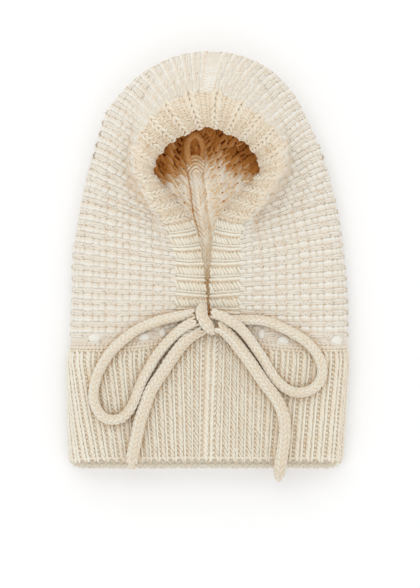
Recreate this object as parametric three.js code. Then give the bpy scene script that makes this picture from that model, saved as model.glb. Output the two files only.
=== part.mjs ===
// A hood knitted from thick cream wool, laid on its back with the face opening up.
// Millimetres, +Z up, z = 0 the table. +Y points to the crown, -Y to the neck hem,
// and the origin is on the table under the middle of the hood, its cord left out.
// The body is one knitted strip that runs from the neck up one side of the face, over
// the head and down the other side, and its far edges are sewn together at the back.
import * as THREE from 'three';
import { mergeVertices } from 'three/addons/utils/BufferGeometryUtils.js';

// Driving dimensions
const halfLength = 188.75;    // half the way from the back hem to the crown
const halfBorder = 127;       // half the width where the body meets the collar
const laidHeight = 34;        // the body where its two layers lie flat
const bodyWall = 5;           // chunky slip stitch knit
const collarWall = 4;         // single rib
const bandThickness = 8;      // rib folded double
const gap = 0.35;             // between pieces that are sewn together
const bandGap = 1;            // wider, because the band turns away from the body's edge
const weldDistance = 1e-3;

// The border between body and collar rises to a low arch under the bow
const borderY = -78;
const archHeight = 16;
const archSpread = 36;

// One object per row of a table, with the column names as its keys
function table(columns, rows) {
  return rows.map((row) => Object.fromEntries(columns.map((name, i) => [name, row[i]])));
}

// Rows of the knitted strip from the neck to the top of the head. front is the edge
// along the face band, outline the edge seen from above, panel the height of the side,
// crease how sharply the brim stands above it, and seam the row's end at the back.
// A lean moves the left and the right half the same way.
const bodyRows = table(
  ['frontX', 'frontLean', 'frontY', 'frontZ',
    'outlineX', 'outlineLean', 'outlineY', 'outlineZ', 'panel', 'crease', 'seamX', 'seamY'],
  [
    [29, 0, -69.6, 35, 127, 0.8, -78, 13, 34, 0, -1, -78],
    [29, 0, -31.4, 37, 125.7, 1.3, -33.3, 13, 34, 0, -1, -50],
    [29.3, 0, -0.8, 42, 123, 0.2, 12.4, 13, 35, 0.15, -2, -22],
    [34, -3, 31.2, 54, 114, 0.4, 63.5, 14, 37, 0.75, -3, 8],
    [48, -1, 53.1, 65, 107.8, -0.2, 88.1, 15, 40, 1, -5, 29],
    [61.5, 1.5, 81.8, 78, 98.6, -0.8, 113.5, 18, 43, 1, -7, 50],
    [59, 1.5, 101, 84, 89.7, -2.5, 135.1, 21, 47, 0.85, -9, 67],
    [47, -0.8, 117.5, 89, 76, -1, 155.4, 26, 56, 0.45, -10, 82],
    [32, -3, 132.5, 93, 55.2, 0.6, 173.2, 32, 70, 0.12, -11, 95],
    [16, -3.5, 142.8, 95, 28.6, 1.2, 185, 37, 80, 0, -11, 105],
    [0, -3.5, 146.4, 96, 0, 1, halfLength, 39, 84, 0, -11, 112],
  ],
);

// The band's inner lip beside the same rows, and how far the band stands up in a roll
const lipRows = table(
  ['lipX', 'lipLean', 'lipY', 'lipZ', 'roll'],
  [
    [1.4, 0.9, -62, 32, 2.5],
    [1.6, 0.3, -33.3, 33, 2.5],
    [3.6, -0.9, -0.7, 36, 3],
    [10.8, -2.7, 37.5, 43, 3.5],
    [28.3, -3, 60.5, 50, 4],
    [46.4, -1.3, 79.3, 59, 4],
    [44.5, -0.8, 90, 66, 4.5],
    [31.9, 0, 104.6, 73, 5],
    [18.1, -0.4, 111, 80, 5],
    [8, 0, 115.1, 84, 5],
    [0, 0.1, 116.5, 86, 5],
  ],
);

// The collar from its border to its hem
const collarRows = table(
  ['share', 'halfWidth', 'lean', 'height'],
  [
    [0, 127, 0.8, 34],
    [0.12, 129, 0, 34],
    [0.5, 127.6, -1, 32],
    [0.8, 126.4, -1.6, 30.5],
    [1, 125.7, -2, 29],
  ],
);
const hemSlope = 0.26;        // the front hem lies higher up than the back hem
const hemCorner = { inset: 8, rise: 5 };

// Where each row of the body turns, as distances out from its front edge
const brim = { crest: 6, face: 10, foot: 13 };
const edgeInset = 12;         // from the outline in to where the top starts to fall
const stepsBetween = [1, 1, 1, 4, 2, 2, 3, 4];
const stepsPerRow = 2;

const vec = (x, y, z) => new THREE.Vector3(x, y, z);
const up = vec(0, 0, 1);

const wool = (name, colour) => new THREE.MeshStandardMaterial({
  name, color: colour, roughness: 0.95, metalness: 0, side: THREE.FrontSide,
});
const bodyWool = wool('body_wool', 0xe6dfce);
const ribWool = wool('rib_wool', 0xdfd3ba);
const cordWool = wool('cord_wool', 0xd9cbb0);

function archedBorder(x) {
  return borderY + archHeight * Math.exp(-((x / archSpread) ** 2));
}

// A closed geometry from a list of points and triangles, turned to face outwards
function closedGeometry(points, triangles) {
  const geometry = new THREE.BufferGeometry();
  const positions = points.flatMap((p) => [p.x, p.y, p.z]);
  let volume = 0;
  for (const [a, b, c] of triangles) {
    volume += points[a].dot(points[b].clone().cross(points[c]));
  }
  const facing = volume < 0 ? triangles.map(([a, b, c]) => [a, c, b]) : triangles;
  geometry.setAttribute('position', new THREE.Float32BufferAttribute(positions, 3));
  geometry.setIndex(facing.flat());
  const welded = mergeVertices(geometry, weldDistance);
  welded.computeVertexNormals();
  return welded;
}

// Two triangles for the cell of a grid between line i and the next, step j and the next
function cell(i, j, index, lines) {
  const next = (i + 1) % lines;
  const a = index(i, j);
  const b = index(next, j);
  const c = index(next, j + 1);
  const d = index(i, j + 1);
  return [[a, b, c], [a, c, d]];
}

// A wall between an outer and an inner grid of points. around closes the grid on
// itself, and seamed leaves the last step open because both halves meet there.
function wallSolid(outer, inner, { around = false, seamed = false }) {
  const lines = outer.length;
  const steps = outer[0].length;
  const points = [...outer.flat(), ...inner.flat()];
  const outerIndex = (i, j) => i * steps + j;
  const innerIndex = (i, j) => lines * steps + i * steps + j;
  const triangles = [];
  const spans = around ? lines : lines - 1;
  const flipped = (list) => list.map(([a, b, c]) => [a, c, b]);
  const bridge = (a, b) => {
    const lineOf = (p) => Math.floor((p % (lines * steps)) / steps);
    const stepOf = (p) => p % steps;
    const c = innerIndex(lineOf(b), stepOf(b));
    const d = innerIndex(lineOf(a), stepOf(a));
    triangles.push([a, b, c], [a, c, d]);
  };
  for (let i = 0; i < spans; i += 1) {
    for (let j = 0; j < steps - 1; j += 1) {
      triangles.push(...cell(i, j, outerIndex, lines));
      triangles.push(...flipped(cell(i, j, innerIndex, lines)));
    }
    const next = (i + 1) % lines;
    bridge(outerIndex(next, 0), outerIndex(i, 0));
    if (!seamed) bridge(outerIndex(i, steps - 1), outerIndex(next, steps - 1));
  }
  if (!around) {
    for (let j = 0; j < steps - 1; j += 1) {
      bridge(outerIndex(0, j), outerIndex(0, j + 1));
      bridge(outerIndex(lines - 1, j + 1), outerIndex(lines - 1, j));
    }
  }
  return closedGeometry(points, triangles);
}

// A solid through a row of closed sections, capped on each end by a strip that runs
// between the two sides of the section
function sectionSolid(sections) {
  const lines = sections.length;
  const steps = sections[0].length;
  const points = sections.flat();
  const index = (i, j) => i * steps + (j % steps);
  const triangles = [];
  for (let i = 0; i < lines - 1; i += 1) {
    for (let j = 0; j < steps; j += 1) triangles.push(...cell(i, j, index, lines));
  }
  for (let j = 0; 2 * j < steps - 2; j += 1) {
    const [a, b, c, d] = [j, j + 1, steps - 2 - j, steps - 1 - j];
    for (const [p, q, r] of [[a, b, d], [b, c, d]]) {
      if (q === r) continue;
      triangles.push([index(0, p), index(0, q), index(0, r)]);
      triangles.push([index(lines - 1, p), index(lines - 1, r), index(lines - 1, q)]);
    }
  }
  return closedGeometry(points, triangles);
}

// The points that one row of the body passes through, on the left (-1) or right (+1)
function rowControls(row, side, index) {
  const front = vec(side * row.frontX + row.frontLean, row.frontY, row.frontZ);
  const outline = vec(side * row.outlineX + row.outlineLean, row.outlineY, row.outlineZ);
  const seam = vec(row.seamX, row.seamY, 0);
  const out = outline.clone().sub(front).setZ(0);
  const reach = out.length();
  out.normalize();
  const middle = brim.foot + 0.4 * (reach - brim.foot);
  const at = (distance, smooth, creased) => {
    const p = front.clone().addScaledVector(out, distance);
    p.z = THREE.MathUtils.lerp(smooth, creased, row.crease);
    if (index === 0) p.y = archedBorder(p.x);
    return p;
  };
  const fall = (distance) => row.frontZ
    - (row.frontZ - row.panel) * Math.min(1, distance / middle) ** 1.5;
  const shoulder = row.outlineZ + 0.82 * (row.panel - row.outlineZ);
  const tuck = seam.clone().sub(outline).setZ(0).normalize();
  const under = outline.clone().addScaledVector(tuck, 3 + 0.85 * row.outlineZ).setZ(0);
  return [
    front,
    at(brim.crest, fall(brim.crest), row.frontZ - 3),
    at(brim.face, fall(brim.face), (row.frontZ + row.panel) / 2),
    at(brim.foot, fall(brim.foot), row.panel + 1),
    at(middle, row.panel, row.panel),
    at(reach - edgeInset, shoulder, shoulder),
    outline,
    under,
    seam,
  ];
}

// The whole strip's outer surface: a line of points for each row and half row
function bodySurface() {
  const last = bodyRows.length - 1;
  const left = bodyRows.map((row, i) => rowControls(row, -1, i));
  const right = bodyRows.slice(0, last).map((row, i) => rowControls(row, 1, i)).reverse();
  const controls = [...left, ...right];
  const lines = (controls.length - 1) * stepsPerRow;
  const guides = controls[0].map((_, k) => (
    new THREE.CatmullRomCurve3(controls.map((row) => row[k]), false, 'centripetal')));
  return Array.from({ length: lines + 1 }, (_, i) => {
    const points = guides.map((guide) => guide.getPoint(i / lines));
    return sampleRow(points);
  });
}

// A row's points at the chosen steps between its control points, never under the table
function sampleRow(points) {
  const curve = new THREE.CatmullRomCurve3(points, false, 'centripetal');
  const sampled = [points[0].clone()];
  stepsBetween.forEach((steps, k) => {
    for (let step = 1; step <= steps; step += 1) {
      sampled.push(curve.getPoint((k + step / steps) / stepsBetween.length));
    }
  });
  sampled.forEach((p) => { p.z = p.z < 0.02 ? 0 : p.z; });
  return sampled;
}

// The direction into the wall at each point of a grid of lines
function inwardDirections(grid) {
  const lines = grid.length;
  const steps = grid[0].length;
  return grid.map((line, i) => line.map((point, j) => {
    if (j === steps - 1) return up.clone();
    const along = grid[Math.min(i + 1, lines - 1)][j].clone()
      .sub(grid[Math.max(i - 1, 0)][j]);
    const across = line[Math.min(j + 1, steps - 1)].clone().sub(line[Math.max(j - 1, 0)]);
    if (i === 0 || i === lines - 1) along.set(0, i === 0 ? 1 : -1, 0);
    return across.cross(along).normalize();
  }));
}

function offset(grid, directions, distance) {
  return grid.map((line, i) => line.map((point, j) => (
    point.clone().addScaledVector(directions[i][j], distance))));
}

const surface = bodySurface();
const inward = inwardDirections(surface);
const bodyInner = offset(surface, inward, bodyWall);

// The face band: rib folded double, from the body's front edge over a roll to the lip
function bandSections() {
  const last = lipRows.length - 1;
  const lipAt = (row, side) => vec(side * row.lipX + row.lipLean, row.lipY, row.lipZ);
  const rows = [...lipRows, ...lipRows.slice(0, last).reverse()];
  const lips = new THREE.CatmullRomCurve3(
    rows.map((row, i) => lipAt(row, i <= last ? -1 : 1)), false, 'centripetal');
  const rolls = new THREE.CatmullRomCurve3(
    rows.map((row) => vec(row.roll, 0, 0)), false, 'catmullrom');
  return surface.map((line, i) => {
    const share = i / (surface.length - 1);
    const lip = lips.getPoint(share);
    const roll = rolls.getPoint(share).x;
    return bandSection(line[0], bodyInner[i][0], lip, roll, i);
  });
}

function bandSection(front, frontInner, lip, roll, index) {
  const across = lip.clone().sub(front);
  const away = across.clone().setZ(0).normalize().multiplyScalar(bandGap);
  const ends = index === 0 || index === surface.length - 1;
  const neighbour = surface[Math.min(index + 1, surface.length - 1)][0].clone()
    .sub(surface[Math.max(index - 1, 0)][0]);
  const along = ends ? vec(0, index === 0 ? 1 : -1, 0) : neighbour;
  const lift = across.clone().cross(along).normalize();
  if (ends) lift.set(0, 0, 1);
  const start = front.clone().add(away);
  const at = (share, rise) => start.clone().lerp(lip, share).addScaledVector(lift, rise);
  const section = [
    start,
    at(0.2, 0.7 * roll),
    at(0.45, roll),
    at(0.7, 0.85 * roll),
    at(0.9, 0.4 * roll),
    lip.clone(),
    at(0.98, -0.45 * bandThickness),
    at(0.85, -0.85 * bandThickness),
    at(0.5, -bandThickness + 1),
    frontInner.clone().add(away),
  ];
  if (ends) section.forEach((p) => { p.y = Math.max(p.y, archedBorder(p.x)) + bandGap; });
  return section;
}

// The ribbed collar: a flattened tube that starts on the body's own border points
function collarGrid() {
  const border = [...surface[0]].reverse()
    .concat(frontOfCollar(), surface[surface.length - 1].slice(0, -1));
  return border.map((point) => collarRows.map((row) => {
    const hem = hemLine(point);
    const x = (point.x - collarRows[0].lean) * row.halfWidth / halfBorder + row.lean;
    const y = THREE.MathUtils.lerp(point.y - gap, hem, row.share);
    return vec(x, y, point.z * row.height / laidHeight);
  }));
}

// The top of the collar between the two halves of the body, under the face band
function frontOfCollar() {
  const from = surface[0][0];
  const to = surface[surface.length - 1][0];
  return [0.2, 0.4, 0.6, 0.8].map((share) => {
    const p = from.clone().lerp(to, share);
    p.y = archedBorder(p.x);
    return p;
  });
}

function hemLine(point) {
  const overCorner = Math.max(0, Math.abs(point.x) - (halfBorder - hemCorner.inset));
  const corner = hemCorner.rise * (overCorner / hemCorner.inset) ** 2;
  return -halfLength + hemSlope * point.z + corner;
}

// Into the collar's wall, square to its section and level with the hem
function collarInward(grid) {
  const lines = grid.length;
  return grid.map((line, i) => line.map((point, j) => {
    const across = grid[(i + 1) % lines][j].clone().sub(grid[(i + lines - 1) % lines][j]);
    return vec(across.z, 0, -across.x).normalize();
  }));
}

// The centre back seam, a thick ridge on the inside of the back layer
const seamRidge = { halfWidth: 6, height: 8, sides: 10, steps: 36 };
const ridgeRoute = [
  [-11, 112], [-11.5, 92], [-10.5, 78], [-8.5, 64], [-7, 48],
  [-4, 34], [-2.5, 24], [-2, 8], [-2, -4], [-1, -20], [-0.5, -44], [-0.5, -74],
];

function ridgeGeometry() {
  const middle = bodyWall + gap + seamRidge.height / 2;
  const route = new THREE.CatmullRomCurve3(ridgeRoute.map(([x, y]) => vec(x, y, middle)));
  const outline = new THREE.Shape();
  outline.absellipse(0, 0, seamRidge.height / 2, seamRidge.halfWidth, 0, 2 * Math.PI);
  return new THREE.ExtrudeGeometry(outline, {
    steps: seamRidge.steps,
    curveSegments: seamRidge.sides,
    extrudePath: route,
  });
}

// The knitted drawstring, tied in a bow where the band's two ends meet: the middle of
// each strand from the knot outwards, lying on the body and collar. The left loop lies
// flat, and on the right the returning strand and the tail pass over the outgoing one.
const loopDiameter = 8.6;
const tailDiameter = 10.4;
const cordSides = 10;
const cordRoutes = [
  { name: 'left_loop', diameter: loopDiameter, steps: 26, points: [
    [-14, -47.4, 41.6], [-27.5, -49.8, 41.2], [-44.8, -54, 40.2], [-62.1, -60.9, 39.4],
    [-75.3, -70.2, 38.9], [-85.7, -79.7, 38.8], [-92.9, -89.6, 38.7], [-99.7, -102.3, 37.8],
    [-102.9, -115.5, 36.6], [-103, -125.4, 36.1], [-99.3, -135.3, 36.2], [-93.5, -141.2, 36.1],
    [-86.7, -143.3, 36.1], [-78.6, -141.7, 36.3], [-71.8, -135.8, 36.8], [-66.8, -127.2, 37.4],
    [-63.1, -117.2, 38], [-58.6, -106.3, 38.6], [-53.2, -96.4, 39.2], [-46, -84.5, 39.8],
    [-37.8, -74.3, 40.2], [-28.8, -65, 41.9], [-20.2, -58.5, 44.8], [-12.2, -54.4, 48],
  ] },
  { name: 'left_tail', diameter: tailDiameter, steps: 12, points: [
    [-6, -61.8, 41.2], [-14.4, -66.8, 41], [-20.7, -72, 40.8], [-27.5, -80.6, 40.8],
    [-34.7, -90.5, 40.5], [-41.2, -100.9, 40], [-46.9, -109, 39.5], [-51.8, -117.1, 39],
    [-55.5, -127.1, 38.5], [-59.3, -138.1, 37.9], [-62.3, -147.9, 37.4], [-64.1, -157.9, 36.8],
    [-66.4, -167.9, 36.2], [-68.2, -177, 35.7], [-69, -184.4, 34.6],
  ] },
  { name: 'right_loop', diameter: loopDiameter, steps: 25, points: [
    [7, -52.8, 39.6], [13, -53.1, 41.1], [19.9, -53.2, 41.8], [27.3, -53.2, 40.8],
    [33.8, -53.1, 40.5], [43.3, -52.9, 40.4], [53.9, -54.7, 40], [64.3, -58.6, 39.5],
    [76.5, -64.8, 38.9], [86.9, -71.3, 38.7], [95, -79.3, 38.7], [99.8, -86.5, 38.4],
    [102.8, -94.6, 37.7], [102.8, -102.8, 37.2], [99.9, -110, 37.2], [94.2, -115.4, 37.4],
    [85.8, -118.4, 37.3], [77.7, -118.1, 37.4], [69.7, -114.5, 37.9], [62.5, -108, 38.4],
    [56.4, -99.5, 39], [50.6, -89.4, 39.6], [44.3, -80.1, 40], [37.2, -70, 41.4],
    [29.6, -61, 46], [20.8, -54.2, 50.9], [12.2, -49.6, 51.3], [5.8, -47.6, 50.6],
  ] },
  { name: 'right_tail', diameter: tailDiameter, steps: 15, points: [
    [9.5, -59.2, 48.8], [14.9, -62.6, 46.6], [22.6, -71, 42.4], [30.2, -80.8, 40.9],
    [37.9, -91.2, 40.5], [45.3, -101.8, 39.9], [52.6, -112, 39.4], [59.3, -120.6, 38.8],
    [64.6, -129.5, 38.2], [68, -138, 37.7], [69.5, -147, 37.2], [69.4, -156.1, 36.7],
    [68.3, -166.1, 36.2], [66.9, -175.2, 35.8], [65.7, -182.5, 35], [65, -189.5, 31],
    [64.4, -196.5, 24],
  ] },
];
const knot = { x: -2.4, y: -54.5, z: 46.2, halfWidth: 7, halfLength: 12, halfHeight: 8.4, turn: 30 };

function cordGeometry({ diameter, steps, points }) {
  const route = new THREE.CatmullRomCurve3(points.map((p) => vec(...p)), false, 'centripetal');
  const corners = Array.from({ length: cordSides }, (_, i) => {
    const angle = 2 * Math.PI * i / cordSides;
    return new THREE.Vector2(diameter / 2 * Math.cos(angle), diameter / 2 * Math.sin(angle));
  });
  return new THREE.ExtrudeGeometry(new THREE.Shape(corners), { steps, extrudePath: route });
}

function knotMesh() {
  const mesh = piece('bow_knot', new THREE.SphereGeometry(1, 16, 10), cordWool);
  mesh.scale.set(knot.halfWidth, knot.halfLength, knot.halfHeight);
  mesh.rotation.z = THREE.MathUtils.degToRad(knot.turn);
  mesh.position.set(knot.x, knot.y, knot.z);
  return mesh;
}

function piece(name, geometry, material) {
  const mesh = new THREE.Mesh(geometry, material);
  mesh.name = name;
  return mesh;
}

const hood = new THREE.Group();
hood.add(piece('hood_body', wallSolid(surface, bodyInner, { seamed: true }), bodyWool));
hood.add(piece('face_band', sectionSolid(bandSections()), ribWool));
const collarOuter = collarGrid();
const collarInner = offset(collarOuter, collarInward(collarOuter), collarWall);
hood.add(piece('neck_collar', wallSolid(collarOuter, collarInner, { around: true }), ribWool));
hood.add(piece('back_seam', ridgeGeometry(), bodyWool));
for (const cord of cordRoutes) hood.add(piece(cord.name, cordGeometry(cord), cordWool));
hood.add(knotMesh());

export default hood;
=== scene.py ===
import bpy
import math
import numpy as np
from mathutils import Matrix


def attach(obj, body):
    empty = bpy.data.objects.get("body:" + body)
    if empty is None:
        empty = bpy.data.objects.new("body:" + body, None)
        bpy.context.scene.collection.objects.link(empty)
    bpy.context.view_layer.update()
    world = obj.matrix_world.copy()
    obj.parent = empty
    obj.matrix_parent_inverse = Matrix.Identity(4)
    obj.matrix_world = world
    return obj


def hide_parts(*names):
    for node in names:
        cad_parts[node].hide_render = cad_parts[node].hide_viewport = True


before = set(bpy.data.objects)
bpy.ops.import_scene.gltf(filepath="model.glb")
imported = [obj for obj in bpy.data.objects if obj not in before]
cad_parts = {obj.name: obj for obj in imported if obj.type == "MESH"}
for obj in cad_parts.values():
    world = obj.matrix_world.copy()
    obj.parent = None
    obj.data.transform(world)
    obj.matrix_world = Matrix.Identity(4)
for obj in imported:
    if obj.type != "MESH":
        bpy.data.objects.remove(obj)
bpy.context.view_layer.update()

# The camera looks straight down on the hood, which lies on its back. It stands 2 m above the table, a
# little right of the middle and below it.
scene = bpy.context.scene


def placed(name, data):
    """A new object in the scene."""
    thing = bpy.data.objects.new(name, data)
    scene.collection.objects.link(thing)
    return thing


camera = placed("camera", bpy.data.cameras.new("camera"))
camera.location = (0.00184, -0.02964, 2.0)
camera.data.sensor_width = 36
camera.data.lens = 133.1
scene.camera = camera

# The drawstring is a round cord knitted from cream and beige plied wool, on four stitches that run up it
# as columns of V shapes. Its two loops and two tails come out of the knot and lie on the collar. Each
# route is the cord's diameter, in metres, and the places along its middle, in millimetres.
CORD_COLUMNS = 4
UP = np.array([0, 0, 1.0])
ROUTES = {
    "left_loop": (0.0086, [
        (-14, -47.4, 41.6), (-27.5, -49.8, 41.2), (-44.8, -54, 40.2), (-62.1, -60.9, 39.4),
        (-75.3, -70.2, 38.9), (-85.7, -79.7, 38.8), (-92.9, -89.6, 38.7), (-99.7, -102.3, 37.8),
        (-102.9, -115.5, 36.6), (-103, -125.4, 36.1), (-99.3, -135.3, 36.2), (-93.5, -141.2, 36.1),
        (-86.7, -143.3, 36.1), (-78.6, -141.7, 36.3), (-71.8, -135.8, 36.8), (-66.8, -127.2, 37.4),
        (-63.1, -117.2, 38), (-58.6, -106.3, 38.6), (-53.2, -96.4, 39.2), (-46, -84.5, 39.8),
        (-37.8, -74.3, 40.2), (-28.8, -65, 41.9), (-20.2, -58.5, 44.8), (-12.2, -54.4, 48)]),
    "right_loop": (0.0086, [
        (7, -52.8, 39.6), (13, -53.1, 41.1), (19.9, -53.2, 41.8), (27.3, -53.2, 40.8), (33.8, -53.1, 40.5),
        (43.3, -52.9, 40.4), (53.9, -54.7, 40), (64.3, -58.6, 39.5), (76.5, -64.8, 38.9), (86.9, -71.3, 38.7),
        (95, -79.3, 38.7), (99.8, -86.5, 38.4), (102.8, -94.6, 37.7), (102.8, -102.8, 37.2),
        (99.9, -110, 37.2), (94.2, -115.4, 37.4), (85.8, -118.4, 37.3), (77.7, -118.1, 37.4),
        (69.7, -114.5, 37.9), (62.5, -108, 38.4), (56.4, -99.5, 39), (50.6, -89.4, 39.6), (44.3, -80.1, 40),
        (37.2, -70, 41.4), (29.6, -61, 46), (20.8, -54.2, 50.9), (12.2, -49.6, 51.3), (5.8, -47.6, 50.6)]),
    "left_tail": (0.0104, [
        (-6, -61.8, 41.2), (-14.4, -66.8, 41), (-20.7, -72, 40.8), (-27.5, -80.6, 40.8), (-34.7, -90.5, 40.5),
        (-41.2, -100.9, 40), (-46.9, -109, 39.5), (-51.8, -117.1, 39), (-55.5, -127.1, 38.5),
        (-59.3, -138.1, 37.9), (-62.3, -147.9, 37.4), (-64.1, -157.9, 36.8), (-66.4, -167.9, 36.2),
        (-68.2, -177, 35.7), (-69, -184.4, 34.6)]),
    "right_tail": (0.0104, [
        (9.5, -59.2, 48.8), (14.9, -62.6, 46.6), (22.6, -71, 42.4), (30.2, -80.8, 40.9), (37.9, -91.2, 40.5),
        (45.3, -101.8, 39.9), (52.6, -112, 39.4), (59.3, -120.6, 38.8), (64.6, -129.5, 38.2),
        (68, -138, 37.7), (69.5, -147, 37.2), (69.4, -156.1, 36.7), (68.3, -166.1, 36.2),
        (66.9, -175.2, 35.8), (65.7, -182.5, 35), (65, -189.5, 31), (64.4, -196.5, 24)])}


class Wire:
    """A socket of a node tree that arithmetic works on: each operator adds a Math node."""

    def __init__(self, tree, socket):
        self.tree, self.socket = tree, socket

    def node(self, kind, settings=None, out=0, **sockets):
        made = self.tree.nodes.new(kind)
        for name, value in (settings or {}).items():
            if name == "stops":
                ramp = made.color_ramp
                while len(ramp.elements) < len(value):
                    ramp.elements.new(1.0)
                for stop, (place, colour) in zip(ramp.elements, value):
                    stop.position, stop.color = place, colour
            else:
                setattr(made, name, value)
        for name, value in sockets.items():
            port = made.inputs[int(name[1:])] if name[0] == "i" and name[1:].isdigit() else made.inputs[name]
            if isinstance(value, Wire):
                self.tree.links.new(value.socket, port)
            else:
                port.default_value = value
        return Wire(self.tree, made.outputs[out])

    def maths(self, operation, *values):
        ports = {"i%d" % place: value for place, value in enumerate(values)}
        return self.node("ShaderNodeMath", {"operation": operation}, **ports)

    def __add__(self, other):
        return self.maths("ADD", self, other)

    __radd__ = __add__

    def __sub__(self, other):
        return self.maths("SUBTRACT", self, other)

    def __rsub__(self, other):
        return self.maths("SUBTRACT", other, self)

    def __mul__(self, other):
        return self.maths("MULTIPLY", self, other)

    __rmul__ = __mul__


def wool(name, colours, relief, painted_glow=None, sheen=0.25):
    """A matt plied wool whose colours run from a dark, painted as the shade between stitches, to the light on
    their crowns, and darker still low on their flanks as painted shade. Its painted glow is emitted light
    that lifts the shade, standing for light that comes through thick wool, and follows the same shade."""
    material = bpy.data.materials.new(name)
    material.use_nodes = True
    tree = material.node_tree
    tree.nodes.clear()
    shader = tree.nodes.new("ShaderNodeBsdfPrincipled")
    output = tree.nodes.new("ShaderNodeOutputMaterial")
    tree.links.new(shader.outputs[0], output.inputs["Surface"])
    start = Wire(tree, None)
    place = start.node("ShaderNodeTexCoord", out="Object")
    fibre = start.node("ShaderNodeAttribute", {"attribute_name": "fibre"}, out="Vector")
    tone = start.node("ShaderNodeAttribute", {"attribute_name": "tone"}, out="Fac")
    cloud = start.node("ShaderNodeTexNoise", out="Fac", Vector=place, Scale=90.0, Detail=3.0)
    hair = start.node("ShaderNodeTexNoise", out="Fac", Vector=fibre, Scale=1.0, Detail=4.0, Distortion=0.4)
    height = start.node("ShaderNodeSeparateXYZ", out=2, i0=fibre)
    # flank is 1 on the lower half of a stitch and falls to 0 at its crown; it darkens the flanks as painted
    # shade
    flank = height.maths("MINIMUM", height.maths("MAXIMUM", 1 - height * 0.34, 0.0), 1.0)
    mottled = tone + (cloud - 0.5) * 0.26 + (hair - 0.5) * 0.22
    shade = mottled - flank * flank * flank * tone * 0.34 + 0.12

    def ramp(stops):
        return start.node("ShaderNodeValToRGB", {"stops": [(at, (*rgb, 1)) for at, rgb in stops]}, i0=shade)

    bump = start.node("ShaderNodeBump", Strength=relief, Distance=0.0006, Height=hair)
    tree.links.new(ramp(colours).socket, shader.inputs["Base Color"])
    tree.links.new(bump.socket, shader.inputs["Normal"])
    for label, value in (("Roughness", 0.92), ("Sheen Weight", sheen), ("Sheen Roughness", 0.6),
                         ("Specular IOR Level", 0.15)):
        shader.inputs[label].default_value = value
    if painted_glow:
        tree.links.new(ramp(painted_glow).socket, shader.inputs["Emission Color"])
        shader.inputs["Emission Strength"].default_value = 1.0
    return material


def linear(*rgb):
    """Display values of 0 to 255 to the light that the shader takes."""
    return tuple(round(((v / 255 + 0.055) / 1.055) ** 2.4, 4) for v in rgb)


def smooth_curve(points, shares):
    """Places on the smooth curve through points, each share of the way between 0 and 1 counted in points."""
    points = np.asarray(points, float)
    last = len(points) - 1
    ends = np.concatenate([2 * points[:1] - points[1:2], points, 2 * points[-1:] - points[-2:-1]])
    place = np.clip(np.asarray(shares, float), 0, 1) * last
    start = np.minimum(place.astype(int), last - 1)
    along = (place - start)[:, None]
    p0, p1, p2, p3 = (ends[start + step] for step in range(4))
    gap0, gap1, gap2 = (np.sqrt(np.linalg.norm(b - a, axis=1))[:, None] + 1e-9
                        for a, b in ((p0, p1), (p1, p2), (p2, p3)))
    lead = ((p1 - p0) / gap0 - (p2 - p0) / (gap0 + gap1) + (p2 - p1) / gap1) * gap1
    trail = ((p2 - p1) / gap1 - (p3 - p1) / (gap1 + gap2) + (p3 - p2) / gap2) * gap1
    square, cube = along ** 2, along ** 3
    return ((2 * cube - 3 * square + 1) * p1 + (cube - 2 * square + along) * lead
            + (3 * square - 2 * cube) * p2 + (cube - square) * trail)


def unit(vectors):
    """Vectors of length one."""
    return vectors / np.maximum(np.linalg.norm(vectors, axis=-1, keepdims=True), 1e-12)


def run_along(places):
    """The distance along each line of places, from its first place."""
    steps = np.linalg.norm(np.diff(places, axis=-2), axis=-1)
    return np.concatenate([np.zeros(steps.shape[:-1] + (1,)), np.cumsum(steps, axis=-1)], axis=-1)


def even_steps(curve, count):
    """The fine curve again, as count places with even gaps."""
    run = run_along(curve)
    wanted = np.linspace(0, run[-1], count)
    return np.stack([np.interp(wanted, run, axis) for axis in curve.T], 1)


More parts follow.
